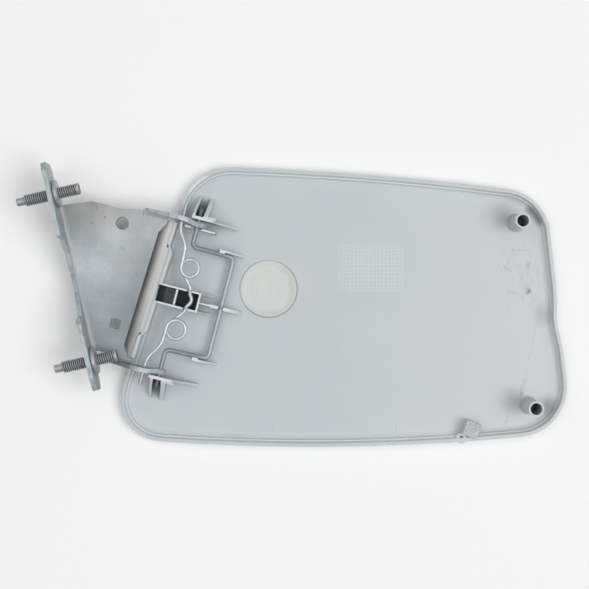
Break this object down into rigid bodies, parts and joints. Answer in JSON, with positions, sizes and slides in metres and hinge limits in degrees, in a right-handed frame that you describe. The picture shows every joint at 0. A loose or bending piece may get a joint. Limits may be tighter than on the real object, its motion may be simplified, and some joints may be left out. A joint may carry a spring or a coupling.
{
  "type": "car fuel door",
  "caption": "Hinged car fuel door: a moulded plastic panel with rim and bosses, on a folded steel bracket with studs, a wire hinge pin and an over-centre wire spring.",
  "frame": {"origin": "on the flat outer face of the door, at the middle of its outline", "axes": "+X along the door towards its free end, +Y across it in the plane of the door, +Z square to the door from the outer face to the inner side"},
  "size_m": [0.2712, 0.1396, 0.036],
  "materials": {
    "panel_plastic": "moulded unpainted light grey plastic, fine matt texture",
    "pad_foam": "thin off-white damping pad",
    "wire_steel": "bright zinc plated drawn wire",
    "spring_steel": "bright drawn spring wire",
    "bracket_steel": "matt zinc plated pressed sheet",
    "stud_steel": "zinc plated rolled thread"
  },
  "bodies": {
    "bracket": {"hinge_bracket": "bracket_steel", "upper_stud": "stud_steel", "lower_stud": "stud_steel"},
    "door": {"door_panel": "panel_plastic", "round_pad": "pad_foam", "hinge_wire": "wire_steel", "centre_spring": "spring_steel"}
  },
  "joints": [
    {"name": "door_hinge", "type": "hinge", "parent": "bracket", "child": "door", "pos_m": [-0.08186, 0.00436, 0.017], "axis": [-0.2505, -0.9681, 0], "range_deg": [0, 90], "deforming": ["centre_spring"]}
  ]
}
